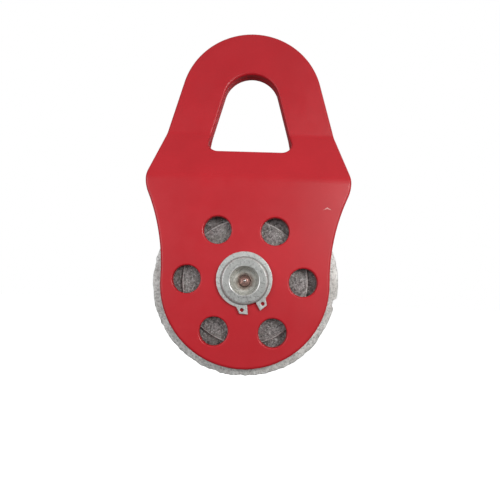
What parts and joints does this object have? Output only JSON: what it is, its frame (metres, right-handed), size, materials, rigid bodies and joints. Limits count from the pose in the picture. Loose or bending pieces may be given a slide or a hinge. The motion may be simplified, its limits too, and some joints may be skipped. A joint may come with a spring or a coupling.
{
  "type": "single sheave snatch block",
  "caption": "Swing-cheek snatch block: joggled red steel cheek plates meet at a D-shaped shackle eye and carry a grooved cast sheave on a greased pin held by circlips.",
  "frame": {"origin": "centre of the sheave, on the pin's axis, half way between the cheek plates", "axes": "+Z from the pin to the shackle eye, Y along the pin with the grease nipple facing -Y, +X to the right seen from the nipple side"},
  "size_m": [0.135, 0.0524, 0.238],
  "materials": {
    "red_powder_coat": "satin red powder coat",
    "cast_sheave": "rough casting, hot-dip galvanised",
    "bush_bronze": "turned bronze",
    "zinc_washer": "zinc plated",
    "zinc_pin": "turned steel, dull zinc plate",
    "spring_ring": "zinc plated spring steel",
    "nipple_copper": "tarnished copper brown",
    "ball_steel": "polished steel"
  },
  "bodies": {
    "rear_cheek": {"rear_cheek_plate": "red_powder_coat", "front_thrust_washer": "zinc_washer", "rear_thrust_washer": "zinc_washer"},
    "axle": {"axle_pin": "zinc_pin", "front_circlip": "spring_ring", "rear_circlip": "spring_ring", "grease_nipple_body": "nipple_copper", "grease_nipple_spring": "ball_steel"},
    "front_cheek": {"front_cheek_plate": "red_powder_coat"},
    "sheave": {"sheave": "cast_sheave", "sheave_bush_front": "bush_bronze", "sheave_bush_rear": "bush_bronze"},
    "check_ball": {"grease_nipple_ball": "ball_steel"}
  },
  "joints": [
    {"name": "pin_turn", "type": "hinge", "parent": "rear_cheek", "child": "axle", "pos_m": [0, 0, 0], "axis": [0, 1, 0], "continuous": true},
    {"name": "sheave_spin", "type": "hinge", "parent": "axle", "child": "sheave", "pos_m": [0, 0, 0], "axis": [0, 1, 0], "continuous": true},
    {"name": "cheek_swing", "type": "hinge", "parent": "rear_cheek", "child": "front_cheek", "pos_m": [0, 0, 0], "axis": [0, 1, 0], "continuous": true},
    {"name": "check_ball_slide", "type": "slide", "parent": "axle", "child": "check_ball", "axis": [0, 1, 0], "range_m": [0, 0.0008], "stiffness_N_per_m": 60, "springref_m": -0.0005, "deforming": ["grease_nipple_spring"]}
  ]
}
